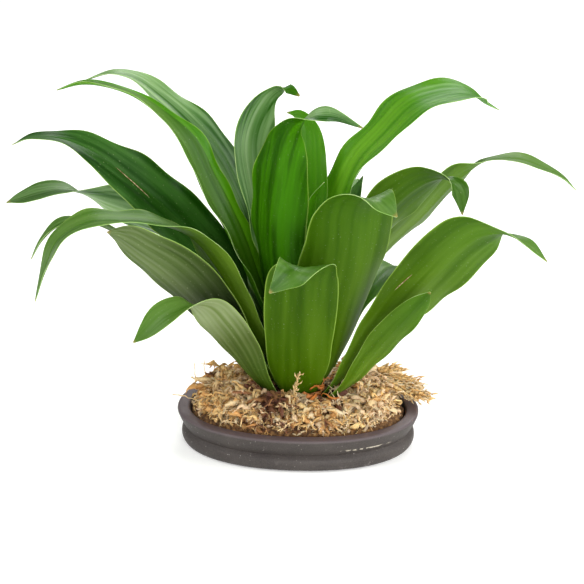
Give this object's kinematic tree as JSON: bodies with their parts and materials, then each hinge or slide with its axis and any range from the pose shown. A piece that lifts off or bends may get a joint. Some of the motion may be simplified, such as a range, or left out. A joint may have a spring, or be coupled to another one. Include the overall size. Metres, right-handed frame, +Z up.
{
  "type": "potted dracaena",
  "caption": "Rosette of broad strap leaves on a short stem, standing in a shallow oval clay tray of soil topped with dried moss.",
  "frame": {"origin": "on the ground, under the middle of the tray's flat underside", "axes": "+Z up; X along the tray's long side, with +X to the right as seen from the front; -Y towards the front"},
  "size_m": [0.373, 0.2631, 0.2376],
  "materials": {
    "clay": "unglazed fired clay, matt, dark grey-brown",
    "soil": "damp potting mix, dark brown",
    "moss": "shredded dried moss, matt, golden brown",
    "stem": "green stem ringed with leaf scars",
    "leaf_mid": "waxy leaf, satin, mid green",
    "leaf_deep": "waxy leaf, satin, deep green",
    "leaf_bright": "waxy leaf, satin, yellow-green",
    "leaf_grey": "leaf underside, soft satin, grey-green with fine parallel ribs"
  },
  "bodies": {
    "root": {"tray": "clay", "soil": "soil", "stem": "stem", "moss": "moss", "leaf_left_low_small": "leaf_grey", "leaf_right_low_small": "leaf_mid", "leaf_back_right": "leaf_grey", "leaf_back_low_left": "leaf_grey", "leaf_front_small": "leaf_mid", "leaf_left_broad_grey": "leaf_grey", "leaf_right_broad": "leaf_mid", "leaf_back_low_centre": "leaf_mid", "leaf_front_broad": "leaf_mid", "leaf_right_long": "leaf_grey", "leaf_left_twisted": "leaf_grey", "leaf_left_hidden_arch": "leaf_mid", "leaf_left_long_arch": "leaf_mid", "leaf_right_mid": "leaf_mid", "leaf_back_mid": "leaf_deep", "leaf_back_mid_left": "leaf_mid", "leaf_left_long_dark": "leaf_deep", "leaf_inner_right": "leaf_deep", "leaf_upper_left_back": "leaf_deep", "leaf_upper_left_folded": "leaf_bright", "leaf_upper_right_bright": "leaf_bright", "leaf_back_inner": "leaf_deep", "leaf_centre_tall": "leaf_bright", "leaf_back_centre_left": "leaf_deep", "leaf_back_centre": "leaf_mid", "leaf_inner_spear": "leaf_bright", "leaf_inner_spear_back": "leaf_bright"}
  },
  "joints": []
}
